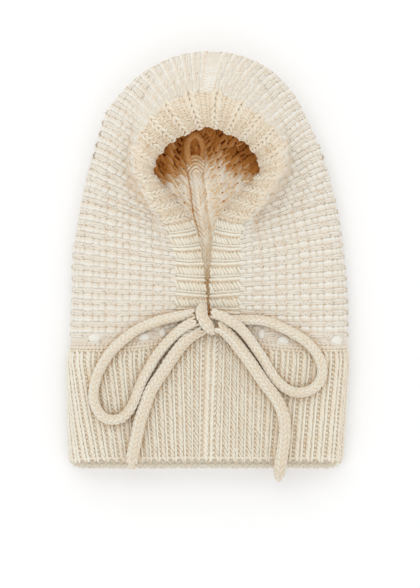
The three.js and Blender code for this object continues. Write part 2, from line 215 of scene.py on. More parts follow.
def stitch_tree():
    """Lays one rounded stitch on every point that it is given, facing out and lying along."""
    tree = bpy.data.node_groups.new("stitches", "GeometryNodeTree")
    face = tree.interface
    face.new_socket("Geometry", in_out="INPUT", socket_type="NodeSocketGeometry")
    face.new_socket("Geometry", in_out="OUTPUT", socket_type="NodeSocketGeometry")
    for name, kind, value in (("Sides", "Int", 6), ("Rings", "Int", 5), ("Squareness", "Float", 1.0),
                              ("Wobble", "Float", 0.08), ("Seed", "Int", 1)):
        face.new_socket(name, in_out="INPUT", socket_type="NodeSocket" + kind).default_value = value
    face.new_socket("Material", in_out="INPUT", socket_type="NodeSocketMaterial")
    begin = tree.nodes.new("NodeGroupInput")
    finish = tree.nodes.new("NodeGroupOutput")
    given = {port.name: Wire(tree, port) for port in begin.outputs if port.name}
    start = given["Geometry"]
    ball = start.node("GeometryNodeMeshUVSphere", Segments=given["Sides"], Rings=given["Rings"], Radius=1.0)
    axes = start.node("ShaderNodeSeparateXYZ", Vector=start.node("GeometryNodeInputPosition"))

    def squared(port):
        size = port.maths("POWER", port.maths("ABSOLUTE", port), given["Squareness"])
        return port.maths("SIGN", port) * size

    wide, thick, long = (squared(Wire(tree, port)) for port in axes.socket.node.outputs)
    shaped = start.node("ShaderNodeCombineXYZ", X=long, Y=wide, Z=thick)
    form = start.node("GeometryNodeSetPosition", Geometry=ball, Position=shaped)
    # the fibres wind round the stitch as they run along it
    thread = start.node("ShaderNodeCombineXYZ", X=long * 0.6, Y=wide * 3 + long * 1.5, Z=thick * 3)
    form = start.node("GeometryNodeStoreNamedAttribute", {"data_type": "FLOAT_VECTOR", "domain": "POINT"},
                      Geometry=form, Name="fibre", Value=thread)

    def read(name):
        return start.node("GeometryNodeInputNamedAttribute", {"data_type": "FLOAT_VECTOR"}, Name=name)

    turn = start.node("FunctionNodeAxesToRotation", {"primary_axis": "Z", "secondary_axis": "X"},
                      i0=read("out"), i1=read("along"))
    swell = start.node("FunctionNodeRandomValue", {"data_type": "FLOAT"}, out=1, Seed=given["Seed"],
                       i2=1 - given["Wobble"], i3=1 + given["Wobble"])
    size = start.node("ShaderNodeVectorMath", {"operation": "SCALE"}, i0=read("size"), Scale=swell)
    laid = start.node("GeometryNodeInstanceOnPoints", Points=given["Geometry"], Instance=form, Rotation=turn,
                      Scale=size)
    real = start.node("GeometryNodeRealizeInstances", Geometry=laid)
    soft = start.node("GeometryNodeSetShadeSmooth", Geometry=real)
    done = start.node("GeometryNodeSetMaterial", Geometry=soft, Material=given["Material"])
    tree.links.new(done.socket, finish.inputs[0])
    return tree


STITCHES = stitch_tree()


def store(mesh, label, values):
    """Keeps a number or a vector for each point of a mesh."""
    values = np.asarray(values, np.float32)
    kind, field = ("FLOAT", "value") if values.ndim == 1 else ("FLOAT_VECTOR", "vector")
    mesh.attributes.new(label, kind, "POINT").data.foreach_set(field, values.ravel())


def knit(name, spots, out, along, size, tone, material, **inputs):
    """One mesh of stitches: a rounded stitch at each spot, of its own size, turn and tone."""
    mesh = bpy.data.meshes.new(name + "_spots")
    mesh.vertices.add(len(spots))
    mesh.vertices.foreach_set("co", np.asarray(spots, np.float32).ravel())
    for label, values in (("out", out), ("along", along), ("size", size), ("tone", tone)):
        store(mesh, label, values)
    holder = placed(name + "_spots", mesh)
    modifier = holder.modifiers.new("stitches", "NODES")
    modifier.node_group = STITCHES
    inputs["Material"] = material
    for item in STITCHES.interface.items_tree:
        if item.in_out == "INPUT" and item.name in inputs:
            modifier[item.identifier] = inputs[item.name]
    done = holder.evaluated_get(bpy.context.evaluated_depsgraph_get())
    result = bpy.data.meshes.new_from_object(done)
    result.name = name
    holder.modifiers.clear()
    bpy.data.objects.remove(holder)
    return placed(name, result)


def wool_mesh(name, spots, faces, tone, material, threads=900):
    """A smooth mesh with the tone and the fibres, so many to the metre, that a wool's material reads."""
    mesh = bpy.data.meshes.new(name)
    mesh.from_pydata(spots.tolist(), [], faces)
    mesh.update()
    mesh.shade_smooth()
    store(mesh, "tone", np.full(len(spots), tone, np.float32))
    store(mesh, "fibre", spots * threads)
    mesh.materials.append(material)
    return placed(name, mesh)


def tube(name, rings, tone, material, threads=900):
    """A tube through rings of places, closed at both ends."""
    rows, cols = rings.shape[:2]
    spots = np.concatenate([rings.reshape(-1, 3), rings[[0, -1]].mean(1)])
    faces = []
    for row in range(rows - 1):
        for col in range(cols):
            here, after = row * cols + col, row * cols + (col + 1) % cols
            faces.append((here, after, after + cols, here + cols))
    for centre, row, flip in ((rows * cols, 0, True), (rows * cols + 1, rows - 1, False)):
        for col in range(cols):
            here, after = row * cols + col, row * cols + (col + 1) % cols
            faces.append((centre, after, here) if flip else (centre, here, after))
    return wool_mesh(name, spots, faces, tone, material, threads)


def join(name, pieces):
    """One piece from several meshes."""
    with bpy.context.temp_override(active_object=pieces[0], object=pieces[0], selected_objects=pieces,
                                   selected_editable_objects=pieces):
        bpy.ops.object.join()
    pieces[0].name = pieces[0].data.name = name
    return pieces[0]


# The cord's wool has a painted glow on its darkest stitches: a warm emitted light that lifts the shade under
# the cord.
cord_wool = wool("cord_wool", ((0, linear(214, 176, 122)), (1, linear(232, 227, 213))), 0.45,
                 painted_glow=((0, (0.13, 0.07, 0.014)), (0.45, (0.0, 0.0, 0.0))))


def frame_along(line):
    """The way along a line of places, and its side and upward directions."""
    way = unit(np.gradient(line, axis=0))
    side = unit(np.cross(way, UP))
    return way, side, np.cross(side, way)


def rings_round(middle, side, up, wide, thick, corners):
    """A ring of places round each place of a line, of half a width and half a thickness."""
    angles = np.linspace(0, 2 * math.pi, corners, endpoint=False)
    across, rise = (wide * np.cos(angles))[..., None], (thick * np.sin(angles))[..., None]
    return middle[:, None] + across * side[:, None] + rise * up[:, None]


def knitted_cord(name, path, diameter, pitch=0.0047, blunt=(True, True)):
    """A round cord along a path in millimetres: a core, and V stitches on it in columns. Returns the piece,
    its middle line and its length."""
    fine = smooth_curve(0.001 * np.array(path), np.linspace(0, 1, 12 * len(path)))
    length = run_along(fine)[-1]
    count = int(length / pitch) + 1
    middle = even_steps(fine, count)
    heading, side, up = frame_along(middle)
    radius = np.full(count, 0.5 * diameter)
    for end, beside, blunted in ((0, 1, blunt[0]), (-1, -2, blunt[1])):
        if blunted:
            radius[end] *= 0.55
            radius[beside] *= 0.9
    thick = 0.85 * radius[:, None]
    # the core is toned darker than the stitches, painted shade in the gaps between them
    core = tube(name + "_core", rings_round(middle, side, up, thick, thick, 12), 0.5, cord_wool)
    stitches = []
    dice = np.random.default_rng(7)
    lean = math.radians(25)
    ahead = 0.06 * length / (count - 1)
    for column in range(CORD_COLUMNS):
        # the columns wander a little round the cord
        turn = 2 * math.pi * column / CORD_COLUMNS + 0.3 * np.sin(np.arange(count) * 0.21) + 1.45
        for hand in (-1, 1):
            angle = turn + hand * 0.5 * math.pi / CORD_COLUMNS
            facing = np.cos(angle)[:, None] * side + np.sin(angle)[:, None] * up
            spots = middle + facing * (radius - 0.0011)[:, None] + heading * (ahead * hand)
            line = heading * math.cos(lean) - np.cross(facing, heading) * hand * math.sin(lean)
            size = np.tile([0.76 * pitch, 0.00132, 0.0014], (count, 1))
            # the stitches that face down are toned darker, painted shade under the cord
            painted_underside_shade = np.clip(-facing[:, 2] / 0.7, 0, 1)
            tone = 0.85 + 0.2 * dice.random(count) - 0.08 * (hand > 0) - 0.5 * painted_underside_shade
            stitches.append((spots, facing, line, size, tone))
    legs = knit(name + "_legs", *map(np.concatenate, zip(*stitches)), cord_wool, Sides=7, Rings=6,
                Squareness=0.85, Wobble=0.06, Seed=3)
    return join(name, [core, legs]), middle, length


# The fluff of the wool stands a little past the thickness that the cord has in the hand.
FLUFF = 1.06
cord_lines = []
for name, (diameter, path) in ROUTES.items():
    blunt = (False, "tail" in name)
    piece, middle, length = knitted_cord(name + "_cord", path, FLUFF * diameter, blunt=blunt)
    cord_lines.append(np.column_stack([middle[:, :2], np.full(len(middle), 0.5 * diameter)]))
    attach(piece, "root")
    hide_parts(name)
    tuple(middle[0])
    [tuple(spot) for spot in middle]
cord_lines = np.concatenate(cord_lines)

# The side and crown of the hood are one strip knitted sideways in thick cream roving. Its rows run from
# the face opening out to the folded edge and on to the back seam, where its two halves are sewn together.
body_wool = wool("body_wool", ((0, linear(212, 174, 120)), (1, linear(232, 229, 220))), 0.4)

# The strip is first laid as a smooth surface. Each row of the table, in millimetres, is a line across it,
# from the neck to the crown: x, lean to the right, y and z of the opening's edge and then of the folded
# edge, the height of the flat panel, how sharply the brim folds, and x and y of the back seam.
STRIP = [
    [29, 0, -69.6, 35, 127, 0.8, -78, 13, 34, 0, -1, -78],
    [29, 0, -31.4, 37, 125.7, 1.3, -33.3, 13, 34, 0, -1, -50],
    [29.3, 0, -0.8, 42, 123, 0.2, 12.4, 13, 35, 0.15, -2, -22],
    [34, -3, 31.2, 54, 114, 0.4, 63.5, 14, 37, 0.75, -3, 8],
    [48, -1, 53.1, 65, 107.8, -0.2, 88.1, 15, 40, 1, -5, 29],
    [61.5, 1.5, 81.8, 78, 98.6, -0.8, 113.5, 18, 43, 1, -7, 50],
    [59, 1.5, 101, 84, 89.7, -2.5, 135.1, 21, 47, 0.85, -9, 67],
    [47, -0.8, 117.5, 89, 76, -1, 155.4, 26, 56, 0.45, -10, 82],
    [32, -3, 132.5, 93, 55.2, 0.6, 173.2, 32, 70, 0.12, -11, 95],
    [16, -3.5, 142.8, 95, 28.6, 1.2, 185, 37, 80, 0, -11, 105],
    [0, -3.5, 146.4, 96, 0, 1, 188.75, 39, 84, 0, -11, 112]]
BORDER = -78


def arched(x):
    """The border between the strip and the collar, pulled up at the throat by the drawstring."""
    return BORDER + 16 * np.exp(-(x / 36) ** 2)


def strip_line(row, hand, first):
    """The places that one line of the strip goes through, from the face opening to the back seam."""
    front_x, front_lean, front_y, front_z, edge_x, edge_lean, edge_y, edge_z = row[:8]
    panel, crease, seam_x, seam_y = row[8:]
    front = np.array([hand * front_x + front_lean, front_y, front_z], float)
    edge = np.array([hand * edge_x + edge_lean, edge_y, edge_z], float)
    seam = np.array([seam_x, seam_y, 0.0])
    out = (edge - front) * (1, 1, 0)
    reach = np.linalg.norm(out)
    out = out / reach
    # the brim has fallen to the flat panel 13 mm out from the opening
    middle = 13 + 0.4 * (reach - 13)

    def at(distance, smooth, creased):
        spot = front + out * distance
        spot[2] = smooth + (creased - smooth) * crease
        if first:
            spot[1] = arched(spot[0])
        return spot

    def fall(distance):
        return front_z - (front_z - panel) * min(1, distance / middle) ** 1.5

    shoulder = edge_z + 0.82 * (panel - edge_z)
    under = edge + unit((seam - edge) * (1, 1, 0)) * (3 + 0.85 * edge_z)
    under[2] = 0
    return [front, at(6, fall(6), front_z - 3), at(10, fall(10), (front_z + panel) / 2),
            at(13, fall(13), panel + 1), at(middle, panel, panel), at(reach - 12, shoulder, shoulder), edge,
            under, seam]


order = [(row, -1) for row in STRIP] + [(row, 1) for row in STRIP[-2::-1]]
TABLE = np.arange(len(order))
FINE, ACROSS = 20, 161
LINES = FINE * (len(order) - 1) + 1
controls = np.array([strip_line(row, hand, row is STRIP[0]) for row, hand in order])
guides = np.array([smooth_curve(guide, np.linspace(0, 1, LINES)) for guide in controls.swapaxes(0, 1)])
strip = np.array([smooth_curve(line, np.linspace(0, 1, ACROSS)) for line in guides.swapaxes(0, 1)]) * 0.001
strip[..., 2] = np.maximum(strip[..., 2], 0)


def facing_of(grid, row, col):
    """The outward direction at each place of a grid. It points up at the place in that row and column."""
    facing = unit(np.cross(np.gradient(grid, axis=0), np.gradient(grid, axis=1)))
    return facing * np.sign(facing[row, col, 2])


# Columns of the strip: a little way in from the opening, on the folded edge, where it comes to lie on the
# floor, and where its stitches start to belong to the back.
INSIDE, EDGE, ON_FLOOR, TURNED = 24, 120, 126, 128
strip_out = facing_of(strip, 40, 80)
strip_out[:, ON_FLOOR:][strip[:, ON_FLOOR:, 2] < 0.0005] = (0, 0, -1)


def between(grid, row, col):
    """Values on a grid at fractions of its rows and columns."""
    row = np.clip(row, 0, grid.shape[0] - 1.0001)
    col = np.clip(col, 0, grid.shape[1] - 1.0001)
    i, j = row.astype(int), col.astype(int)
    u, v = row - i, col - j
    if grid.ndim == 3:
        u, v = u[..., None], v[..., None]
    return ((grid[i, j] * (1 - u) + grid[i + 1, j] * u) * (1 - v)
            + (grid[i, j + 1] * (1 - u) + grid[i + 1, j + 1] * u) * v)


# The knitted rows don't lie quite on those lines: towards the opening they ride higher round the brim. A
# row is told by how far along the folded edge it starts.
table_line = np.linspace(0, TABLE[-1], LINES)
edge_run = run_along(strip[:, EDGE])
edge_length = edge_run[-1]
FIRST_ROW, STARTS = 0.0164, 260
ride_up = [0, 0.87, 2, 3.2, 4.25, 5.45, 6.5, 7.4, 8.25, 9.1, 10]
ride_up = np.array(ride_up + [TABLE[-1] - v for v in ride_up[-2::-1]])
starts = np.linspace(0, edge_length, STARTS)
edge_line = np.interp(starts, edge_run, table_line)
front_line = np.interp(edge_line, TABLE, ride_up)
run_over = run_along(strip)
share_over = np.clip(1 - run_over / run_over[:, EDGE:EDGE + 1], 0, 1)
cols = np.tile(np.arange(ACROSS, dtype=float), (STARTS, 1))
line_at = np.tile(edge_line[:, None], (1, ACROSS))
line_at = line_at + (front_line - edge_line)[:, None] * between(share_over, line_at * FINE, cols)
knit_rows = between(strip, line_at * FINE, cols)
knit_out = unit(between(strip_out, line_at * FINE, cols))
knit_along = unit(np.gradient(knit_rows, axis=1))
knit_over = np.cross(knit_out, knit_along)
knit_run = run_along(knit_rows)
knit_gap = np.abs(np.sum(np.gradient(knit_rows, axis=0) * knit_over, axis=2)) / (edge_length / (STARTS - 1))


def on_row(start, away):
    """Place, outward, along and over directions and the row's share of its full height, for a row that starts
    at start on the folded edge, at a distance away from the face opening."""
    row = np.full(len(away), start / edge_length * (STARTS - 1))
    line = int(np.clip(row[0], 0, STARTS - 1.0001))
    col = np.interp(away, knit_run[line], np.arange(ACROSS))
    spots, out, along, gap = (between(grid, row, col) for grid in (knit_rows, knit_out, knit_along, knit_gap))
    out, along = unit(out), unit(along)
    over = unit(np.cross(out, along))
    left = 1 if start < edge_length / 2 else -1
    # over points along the strip, so one hand serves each half
    hand = -left if np.sum((between(knit_rows, row + 1, col) - spots) * over) > 0 else left
    return spots, out, along, over * hand, gap


# How far the face band reaches out over the strip from the opening, in millimetres, at each line.
COVER = [0, 0, 0, 1, 6, 8, 8, 7, 4.5, 2.5, 2]
cover_at = np.array(COVER + COVER[-2::-1]) * 0.001


def covered_by_band(start):
    """The distance that the face band hides of the row that starts at start."""
    return float(np.interp(np.interp(start, starts, front_line), TABLE, cover_at))


# Less light reaches the wool close to a cord, and the wool down in the two folds where the brim folds over
# the side of the hood. Each fold is a line from its top to its foot.
CORD_SHADE, CORD_REACH = 0.6, 0.0016
FOLD_SHADE, FOLD_WIDTH, FOLD_HEIGHT = 0.5, 0.0052, 0.050
FOLDS = np.array([[[-0.0675, 0.0700], [-0.0400, 0.0380]], [[0.0605, 0.0700], [0.0400, 0.0380]]])


def shade_at(spots):
    """How much darker the stitches are beside the cords and down in the folds."""
    to_cord = np.linalg.norm(spots[:, None, :2] - cord_lines[:, :2], axis=2) - cord_lines[:, 2]
    by_cord = CORD_SHADE * np.exp(-np.maximum(to_cord.min(1), 0) / CORD_REACH)
    in_fold = 0
    for top, foot in FOLDS:
        line = foot - top
        share = np.clip((spots[:, :2] - top) @ line / (line @ line), 0, 1)
        away = np.linalg.norm(spots[:, :2] - top - share[:, None] * line, axis=1)
        in_fold = np.maximum(in_fold, np.exp(-(away / FOLD_WIDTH) ** 2))
    return by_cord + FOLD_SHADE * in_fold * np.clip((FOLD_HEIGHT - spots[:, 2]) / 0.006, 0, 1)


class Stitches:
    """Gathers the spots of one kind of stitch before they are knitted."""

    def __init__(self):
        self.added = []

    def add(self, spots, out, along, size, tone, wider=1):
        out, along, size = (np.broadcast_to(values, spots.shape) for values in (out, along, size))
        tone = np.broadcast_to(tone, (len(spots),))
        size = size.copy()
        size[:, 1:2] *= wider
        self.added.append((spots, out, along, size, tone))

    def knit(self, name, material, **inputs):
        spots, out, along, size, tone = map(np.concatenate, zip(*self.added))
        # the tone is lowered by the painted shade beside the cords and in the folds
        return knit(name, spots, out, along, size, tone - shade_at(spots), material, **inputs)


def tilted(along, over, degrees):
    """A direction turned from along towards over."""
    turn = math.radians(degrees)
    return along * math.cos(turn) + over * math.sin(turn)


def knitted_rows():
    """The side of each row of the strip, where it starts on the folded edge, and the distance along it."""
    for side, (number, from_middle) in ROWS.items():
        for count in range(number):
            start = FIRST_ROW + (edge_length / 2 - from_middle - FIRST_ROW) * count / (number - 1)
            if side == "right":
                start = edge_length - start
            yield side, start, knit_run[int(start / edge_length * (STARTS - 1))]


def up_the_brim(spots):
    """0 on the flat sides, rising to 1 high on the brim."""
    return np.clip((spots[..., 2] - 0.045) / 0.03, 0, 1)


# Along a row a wide pillow and two smaller ones take turns, with a dark speck of painted shade between them.
# Beside the smaller ones, on the side of the neck, lie two long strands, and beside the wide one four short
# ones that lean to and fro. The two halves meet at the crown, a little to the right of the middle. Each half
# has its number of rows, and how far from the middle of the edge the last one starts.
CELL = 0.0216
WIDE, SECOND, THIRD = 0.0094, 0.0064, 0.0057
ROWS = {"left": (31, 0.0035), "right": (30, 0.0155)}
# A stitch fills the height of its row, within these shares of its full height.
GAPS = (0.45, 1.1)
pillows, under_pillows, strands, shade_specks = ({side: Stitches() for side in ROWS} for _ in range(4))
dice = np.random.default_rng(11)
for side, start, run in knitted_rows():
    full, turned, covered = run[-1], run[TURNED], covered_by_band(start)
    middles = 0.016 + CELL * np.arange(-1, int(full / CELL) + 1)
    places = np.concatenate([middles, middles + 0.5 * WIDE + 0.5 * SECOND,
                             middles + 0.5 * WIDE + SECOND + 0.5 * THIRD])
    widths = np.repeat([WIDE, SECOND, THIRD], len(middles))
    kept = (places > covered + 0.001) & (places < full - 0.003)
    places, widths = places[kept], widths[kept]
    for group, chosen in ((pillows[side], places < turned), (under_pillows[side], places >= turned)):
        if not chosen.any():
            continue
        number = chosen.sum()
        spots, out, along, over, gap = on_row(start, places[chosen])
        gap = np.clip(gap, *GAPS)[:, None]
        size = np.hstack([0.515 * widths[chosen][:, None], 0.0032 * gap, 0.0022 * gap ** 0.5])
        shift = dice.normal(0, 0.00018, (number, 3)) - out * size[:, 2:]
        size[:, :2] *= 1 + dice.normal(0, 0.05, (number, 2))
        lean = np.tan(np.radians(dice.normal(0, 3.0, (number, 1))))
        # high on the brim the pillows are toned darker, painted shade on the top that takes the most light
        group.add(spots + shift, out, unit(along + over * lean), size,
                  0.96 + 0.08 * dice.random(number) - 0.17 * up_the_brim(spots))
        if group is pillows[side]:
            # at the end of each pillow, low down, sits a dark speck of painted shade
            spots, out, along, over, _ = on_row(start, places[chosen] + 0.5 * widths[chosen])
            low = spots[:, 2] < 0.055
            if low.any():
                shade_specks[side].add((spots - over * 0.0032 * gap - out * 0.0007)[low], out[low], along[low],
                                 (0.0008, 0.0008, 0.0006), 0.3 * dice.random(low.sum()))
    middles = middles[(middles > covered - 0.012) & (middles < turned + 0.004)]
    pair = np.maximum(middles + 0.5 * WIDE + 0.5 * (THIRD + SECOND), covered + 0.0062)
    spots, out, along, over, gap = on_row(start, pair)
    gap = np.clip(gap, *GAPS)[:, None]
    for down, thick, tone in ((0.0043, 0.00155, 0.90), (0.0064, 0.0014, 0.83)):
        lean = np.tan(np.radians(dice.normal(0, 2.0, (len(pair), 1))))
        # high on the brim the strands are toned a little darker, painted shade
        strands[side].add(spots + (over * down - out * 0.0012) * gap, out, unit(along + over * lean),
                          (0.0070, thick, 0.0011),
                          tone + 0.1 * dice.random(len(pair)) - 0.04 * up_the_brim(spots), wider=gap)
    for step, lean in ((-0.0034, 62), (-0.0011, 118), (0.0012, 62), (0.0035, 118)):
        short = middles + step
        short = short[short > covered + 0.001]
        if not len(short):
            continue
        spots, out, along, over, gap = on_row(start, short)
        gap = np.clip(gap, *GAPS)[:, None]
        strands[side].add(spots + (over * 0.0052 - out * 0.0014) * gap, out, tilted(along, over, lean),
                          np.array([0.0026, 0.0014, 0.0011]) * gap, 0.82 + 0.14 * dice.random(len(short)))


def where_x(start, x):
    """How far from the face opening a row passes x."""
    away = np.linspace(0.001, 0.105, 200)
    return float(np.interp(abs(x), np.abs(on_row(start, away)[0][:, 0]), away))


# Next to the collar runs a row of long white ovals, domed on top, that sit flat on a strand. Strands run
# down their shoulders and span the gaps between them. Two rows of small picked-up stitches follow. Each
# side has the x of its ovals and of one that stands up near the throat, and how far they sag.
OVALS = {"left": ((-0.1028, -0.0576), -0.0405, -0.0009), "right": ((0.0683, 0.1169), 0.0478, 0.0014)}
for side, (ovals, upright, sag) in OVALS.items():
    oval_row, picked_up_row, edge_row = (start if side == "left" else edge_length - start
                                         for start in (0.0076, 0.0031, 0.0004))
    places = np.array([where_x(oval_row, x) for x in ovals])
    spots, out, along, over, _ = on_row(oval_row, places)
    pillows[side].add(spots + over * sag - out * 0.0014, out, along, (0.0060, 0.0036, 0.0029), 1.3)
    pillows[side].add(spots + over * (sag - 0.0009) - out * 0.0012, out, along, (0.0042, 0.0034, 0.0029), 1.3)
    spots, out, along, over, _ = on_row(oval_row, np.array([where_x(oval_row, upright)]))
    pillows[side].add(spots - over * 0.0030 - out * 0.0014, out, over, (0.0050, 0.0036, 0.0027), 1.2)
    spans = np.concatenate([places + step for step in (-0.0118, 0.0118, -0.0228, 0.0228)])
    spans = spans[(spans > 0.003) & (spans < 0.104)]
    spots, out, along, over, _ = on_row(oval_row, spans)
    for rise in (-0.0021, 0.0, 0.0021):
        strands[side].add(spots + over * rise - out * 0.0021, out, tilted(along, over, 6 * np.sign(rise)),
                          (0.0058, 0.0013, 0.0011), 0.82 + 0.12 * dice.random(len(spans)))
    for reach, drop, lean, long in ((0.0, sag + 0.0038, 0, 0.0064), (-0.0062, -0.0016, -34, 0.0034),
                                    (0.0062, -0.0016, 34, 0.0034)):
        spots, out, along, over, _ = on_row(oval_row, places + reach)
        strands[side].add(spots + over * drop - out * 0.0009, out, tilted(along, over, lean),
                          (long, 0.0012, 0.0011), 0.8 + 0.1 * dice.random(len(places)))
    places = np.arange(0.002, 0.108, 0.0041)
    for row, lean in ((picked_up_row, 20), (edge_row, -12)):
        spots, out, along, over, _ = on_row(row, places)
        strands[side].add(spots - out * 0.0014, out, tilted(along, over, lean), (0.0024, 0.0017, 0.0014),
                          0.7 + 0.16 * dice.random(len(places)))
        if row == picked_up_row:
            spots, out, along, over, _ = on_row(row, places + 0.0020)
            # between the picked-up stitches sit dark specks of painted shade
            shade_specks[side].add(spots + over * 0.0017 - out * 0.0014, out, along, (0.0009, 0.0007, 0.0007),
                             0.35 + 0.3 * dice.random(len(places)))

# The graft at the crown is a ladder of strands.
graft = edge_length / 2 + 0.006
for step in np.arange(0.0015, 0.138, 0.0031):
    for shift in (-0.0038, 0.0038):
        spots, out, along, over, gap = on_row(graft + shift, np.array([step + 0.0015 * (shift > 0)]))
        strands["right"].add(spots - out * 0.0017, out, tilted(over, along, 14 * np.sign(shift)),
                             (0.0052 * gap[0], 0.0014, 0.0012), 0.78 + 0.2 * dice.random(1))


def shell(name, outer, inner, tone, material, around=False):
    """A thin closed cloth between two grids of the same size, its four edges sewn shut."""
    rows, cols = outer.shape[:2]
    spots = np.concatenate([outer.reshape(-1, 3), inner.reshape(-1, 3)])
    other = rows * cols
    faces = []
    for row in range(rows if around else rows - 1):
        after = (row + 1) % rows
        for col in range(cols - 1):
            a, b, c, d = row * cols + col, after * cols + col, after * cols + col + 1, row * cols + col + 1
            faces += [(a, b, c, d), (a + other, d + other, c + other, b + other)]
        for col, flip in ((0, False), (cols - 1, True)):
            a, b = row * cols + col, after * cols + col
            faces.append((a, b, b + other, a + other) if flip else (b, a, a + other, b + other))
    if not around:
        for row, flip in ((0, True), (rows - 1, False)):
            for col in range(cols - 1):
                a, b = row * cols + col, row * cols + col + 1
                faces.append((a, b, b + other, a + other) if flip else (b, a, a + other, b + other))
    tones = np.broadcast_to(np.asarray(tone, float), (rows, cols)).ravel()
    return wool_mesh(name, spots, faces, np.tile(tones, 2), material)


def area_of(grid, around=False):
    """The area of the surface through a grid."""
    grid = np.concatenate([grid, grid[:1]]) if around else grid
    one = np.cross(grid[1:, :-1] - grid[:-1, :-1], grid[1:, 1:] - grid[:-1, :-1])
    two = np.cross(grid[1:, 1:] - grid[:-1, :-1], grid[:-1, 1:] - grid[:-1, :-1])
    return 0.5 * (np.linalg.norm(one, axis=2).sum() + np.linalg.norm(two, axis=2).sum())


thin = np.linspace(0, LINES - 1, 121).astype(int)
few = np.linspace(0, ACROSS - 1, 65).astype(int)
coarse, coarse_out = strip[thin][:, few], strip_out[thin][:, few]
# Over the brim the stitches lie closer together, and less of the beige in between shows. The cloth under the
# stitches is toned darker than them, partly the beige of the yarn and partly painted shade in the gaps, and
# less of that painted shade is given over the brim.
closeness = up_the_brim(coarse)
outer = coarse - coarse_out * (0.0014 - 0.0005 * closeness)[..., None]
body_cloth = shell("body_cloth", outer, coarse - coarse_out * 0.0048, 0.56 + 0.3 * closeness, body_wool)
body_area = area_of(strip[::4, ::4])
body_pieces = []
for side in ROWS:
    body_pieces += [
        pillows[side].knit(side + "_pillows", body_wool, Sides=12, Rings=7, Squareness=0.76, Seed=5,
                           Wobble=0.05),
        strands[side].knit(side + "_strands", body_wool, Sides=6, Rings=5, Squareness=0.85, Seed=6),
        shade_specks[side].knit(side + "_specks", body_wool, Sides=5, Rings=3, Seed=8),
        under_pillows[side].knit(side + "_back_pillows", body_wool, Sides=8, Rings=5, Squareness=0.62,
                                 Seed=7)]
for piece in [body_cloth] + body_pieces:
    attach(piece, "root")
    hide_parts("hood_body")

# The neck collar is a tube of single rib in cream and beige plied wool, picked up from the strip's edge and
# knitted down to the hem. The drawstring pulls its ribs together a little at the throat.
# Each row of the table is a share of the way down, half the width, the lean to the right and the height.
COLLAR = np.array([[0, 127, 0.8, 34], [0.12, 129, 0, 34], [0.5, 127.6, -1, 32], [0.8, 126.4, -1.6, 30.5],
                   [1, 125.7, -2, 29]])
HEM = -188.75
rib_wool = wool("rib_wool", ((0, linear(212, 166, 106)), (1, linear(237, 234, 220))), 0.45)
throat = np.linspace(strip[0, 0], strip[-1, 0], 42)[1:-1] * 1000
throat[:, 1] = arched(throat[:, 0])
border = np.concatenate([strip[0, ::-1] * 1000, throat, strip[-1, :-1] * 1000])


def collar_line(share):
    """The closed ring of the collar at a share of the way from the border down to the hem, in metres."""
    half, lean, height = (np.interp(share, COLLAR[:, 0], COLLAR[:, k]) for k in (1, 2, 3))
    first_half, first_lean, first_height = COLLAR[0, 1:]
    corner = 5 * (np.maximum(0, np.abs(border[:, 0]) - 119) / 8) ** 2
    hem = HEM + 0.26 * border[:, 2] + corner
    x = (border[:, 0] - first_lean) * half / first_half + lean
    y = (border[:, 1] - 0.35) * (1 - share) + hem * share
    ring = np.stack([x, y, border[:, 2] * height / first_height], 1) * 0.001
    return np.concatenate([ring, ring[:1]])


ring_run = run_along(collar_line(0.5))
ring_length = ring_run[-1]
AROUND, DOWN = 900, 41
even = np.linspace(0, ring_length, AROUND)
collar = np.array([[np.interp(even, ring_run, axis) for axis in collar_line(share).T]
                   for share in np.linspace(0, 1, DOWN)]).transpose(2, 0, 1)
# the ribs face outwards, and hardly towards the border or the hem
collar_out = facing_of(collar, AROUND // 2, DOWN // 2) * (1, 0.3, 1)
collar_out = unit(collar_out)


def on_collar(place, share):
    """Place and outward direction at a distance round the ring and a share of the way down."""
    row = (place % ring_length) / ring_length * (AROUND - 1)
    col = share * (DOWN - 1)
    return between(collar, row, col), unit(between(collar_out, row, col))


def ring_at(places, share):
    """Places, outward directions and the way round, at distances round the ring a share of the way down."""
    share = np.full(len(places), share)
    spots, out = on_collar(places, share)
    return spots, out, unit(on_collar(places + 0.001, share)[0] - spots)


def collar_place(x, share):
    """The distance round the ring of a place on the front of the collar."""
    front = slice(AROUND // 4, 3 * AROUND // 4)
    line = collar[front, int(round(share * (DOWN - 1)))]
    top = line[:, 2] > 0.5 * line[:, 2].max()
    return np.interp(x, line[top, 0], even[front][top])


# Where the valleys between the ribs run on the front, in millimetres from the middle: near the border, and
# near the hem.
VALLEYS = [(-122, -109.6), (-112.4, -100.6), (-101.3, -91.2), (-92.7, -82.8), (-82.9, -74.5), (-73.7, -66.7),
           (-64.9, -58.8), (-56.3, -51.1), (-47.7, -43.4), (-38.9, -35.6), (-29.8, -27.5), (-21.1, -19.1),
           (-12.4, -12.5), (-3.8, -5.8), (9.1, 6.0), (16.3, 14), (22.7, 20.8), (29.4, 28.1),
           (36.7, 35.3), (44.8, 42.6), (53.9, 50.3), (64.3, 58.7), (75, 68.1), (84.2, 77.9), (94, 88),
           (103.7, 97.9), (114.1, 107.7), (123.1, 117.2)]
THROAT_RIB = 14
HIGH, LOW = 0.1, 0.83
RIB, RIB_ROW, COLLAR_DEPTH = 0.0093, 0.00415, 0.1095
valleys = np.array([(collar_place(a * 0.001, HIGH), collar_place(b * 0.001, LOW)) for a, b in VALLEYS])
valleys = np.vstack([valleys[:1] - (0.0095, 0.0097), valleys])
unseen = int(round((ring_length - (valleys[-1, 1] - valleys[0, 1])) / RIB))
fill = np.linspace(0, 1, unseen + 1)[1:, None]
valleys = np.vstack([valleys, valleys[-1] + (valleys[0] + ring_length - valleys[-1]) * fill])
collar_rows = int(round(COLLAR_DEPTH / RIB_ROW))


def rib_place(rib, across, share):
    """The distance round the ring at a share across a rib and a share of the way down it."""
    slide = (share - HIGH) / (LOW - HIGH)
    left, right = (high + (low - high) * slide for high, low in valleys[rib:rib + 2])
    return left + (right - left) * across


